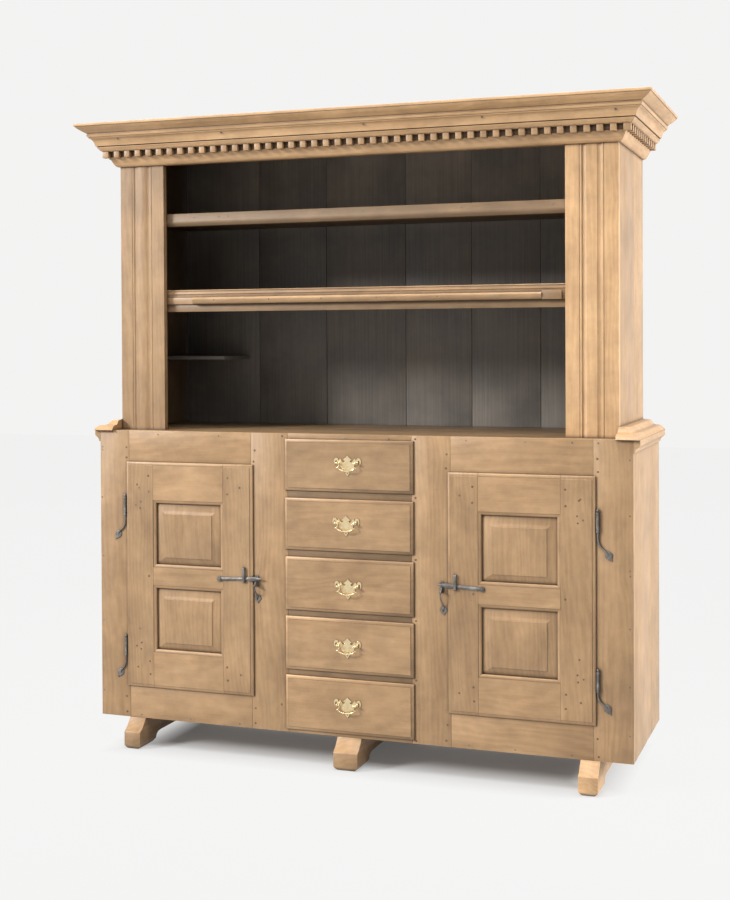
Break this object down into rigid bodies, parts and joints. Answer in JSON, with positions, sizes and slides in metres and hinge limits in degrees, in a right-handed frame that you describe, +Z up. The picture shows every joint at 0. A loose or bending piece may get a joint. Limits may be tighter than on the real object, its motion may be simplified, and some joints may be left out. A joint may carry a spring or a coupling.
{
  "type": "kitchen dresser with hutch",
  "caption": "Tall wooden kitchen dresser: open shelved hutch with dentilled cornice over a case of lipped drawers between panelled cupboard doors, on sledge feet.",
  "frame": {"origin": "middle of the footprint of the whole piece, on the floor", "axes": "+X to the viewer's right, +Y to the back, +Z up"},
  "size_m": [1.98, 0.601, 2.154],
  "materials": {
    "waxed_wood": "waxed, worn satin",
    "painted_boards": "old dark paint, matt",
    "iron": "forged, oiled",
    "brass": "cast, polished and worn"
  },
  "bodies": {
    "carcass": {"base_side_left": "waxed_wood", "base_side_right": "waxed_wood", "base_bottom": "waxed_wood", "base_top": "waxed_wood", "base_back": "waxed_wood", "partition_left": "waxed_wood", "partition_right": "waxed_wood", "face_frame": "waxed_wood", "foot_left": "waxed_wood", "foot_middle": "waxed_wood", "foot_right": "waxed_wood", "end_moulding_left": "waxed_wood", "end_moulding_right": "waxed_wood", "cupboard_shelf_left": "waxed_wood", "cupboard_shelf_right": "waxed_wood", "hutch_side_left": "waxed_wood", "hutch_side_right": "waxed_wood", "pilaster_left": "waxed_wood", "pilaster_right": "waxed_wood", "upper_shelf": "waxed_wood", "spoon_shelf": "waxed_wood", "spoon_rack": "waxed_wood", "cornice": "waxed_wood", "spice_shelf": "painted_boards", "hutch_back": "painted_boards", "hinge_pintle_left_upper": "iron", "hinge_pintle_left_lower": "iron", "hinge_pintle_right_upper": "iron", "hinge_pintle_right_lower": "iron", "latch_catch_left": "iron", "latch_catch_right": "iron"},
    "door_left": {"door_left_frame": "waxed_wood", "door_left_upper_panel": "waxed_wood", "door_left_lower_panel": "waxed_wood", "hinge_strap_left_upper": "iron", "hinge_strap_left_lower": "iron", "latch_guide_left": "iron"},
    "latch_left": {"latch_bar_left": "iron"},
    "door_right": {"door_right_frame": "waxed_wood", "door_right_upper_panel": "waxed_wood", "door_right_lower_panel": "waxed_wood", "hinge_strap_right_upper": "iron", "hinge_strap_right_lower": "iron", "latch_guide_right": "iron"},
    "latch_right": {"latch_bar_right": "iron"},
    "drawer_1": {"drawer_1": "waxed_wood", "pull_plate_1": "brass"},
    "bail_1": {"bail_1": "brass"},
    "drawer_2": {"drawer_2": "waxed_wood", "pull_plate_2": "brass"},
    "bail_2": {"bail_2": "brass"},
    "drawer_3": {"drawer_3": "waxed_wood", "pull_plate_3": "brass"},
    "bail_3": {"bail_3": "brass"},
    "drawer_4": {"drawer_4": "waxed_wood", "pull_plate_4": "brass"},
    "bail_4": {"bail_4": "brass"},
    "drawer_5": {"drawer_5": "waxed_wood", "pull_plate_5": "brass"},
    "bail_5": {"bail_5": "brass"}
  },
  "joints": [
    {"name": "door_left_hinge", "type": "hinge", "parent": "carcass", "child": "door_left", "pos_m": [-0.8268, -0.248, 0.6], "axis": [0, 0, -1], "range_deg": [0, 110]},
    {"name": "latch_left_lift", "type": "hinge", "parent": "door_left", "child": "latch_left", "pos_m": [-0.4645, -0.2538, 0.599], "axis": [0, -1, 0], "range_deg": [0, 15]},
    {"name": "door_right_hinge", "type": "hinge", "parent": "carcass", "child": "door_right", "pos_m": [0.8163, -0.248, 0.6], "axis": [0, 0, 1], "range_deg": [0, 110]},
    {"name": "latch_right_lift", "type": "hinge", "parent": "door_right", "child": "latch_right", "pos_m": [0.4505, -0.2538, 0.613], "axis": [0, 1, 0], "range_deg": [0, 15]},
    {"name": "drawer_1_slide", "type": "slide", "parent": "carcass", "child": "drawer_1", "axis": [0, -1, 0], "range_m": [0, 0.4]},
    {"name": "bail_1_swing", "type": "hinge", "parent": "drawer_1", "child": "bail_1", "pos_m": [-0.002, -0.267, 1.002], "axis": [-1, 0, 0], "range_deg": [0, 85]},
    {"name": "drawer_2_slide", "type": "slide", "parent": "carcass", "child": "drawer_2", "axis": [0, -1, 0], "range_m": [0, 0.4]},
    {"name": "bail_2_swing", "type": "hinge", "parent": "drawer_2", "child": "bail_2", "pos_m": [-0.008, -0.267, 0.805], "axis": [-1, 0, 0], "range_deg": [0, 85]},
    {"name": "drawer_3_slide", "type": "slide", "parent": "carcass", "child": "drawer_3", "axis": [0, -1, 0], "range_m": [0, 0.4]},
    {"name": "bail_3_swing", "type": "hinge", "parent": "drawer_3", "child": "bail_3", "pos_m": [-0.002, -0.267, 0.598], "axis": [-1, 0, 0], "range_deg": [0, 85]},
    {"name": "drawer_4_slide", "type": "slide", "parent": "carcass", "child": "drawer_4", "axis": [0, -1, 0], "range_m": [0, 0.4]},
    {"name": "bail_4_swing", "type": "hinge", "parent": "drawer_4", "child": "bail_4", "pos_m": [-0.005, -0.267, 0.4045], "axis": [-1, 0, 0], "range_deg": [0, 85]},
    {"name": "drawer_5_slide", "type": "slide", "parent": "carcass", "child": "drawer_5", "axis": [0, -1, 0], "range_m": [0, 0.4]},
    {"name": "bail_5_swing", "type": "hinge", "parent": "drawer_5", "child": "bail_5", "pos_m": [-0.006, -0.267, 0.21], "axis": [-1, 0, 0], "range_deg": [0, 85]}
  ]
}
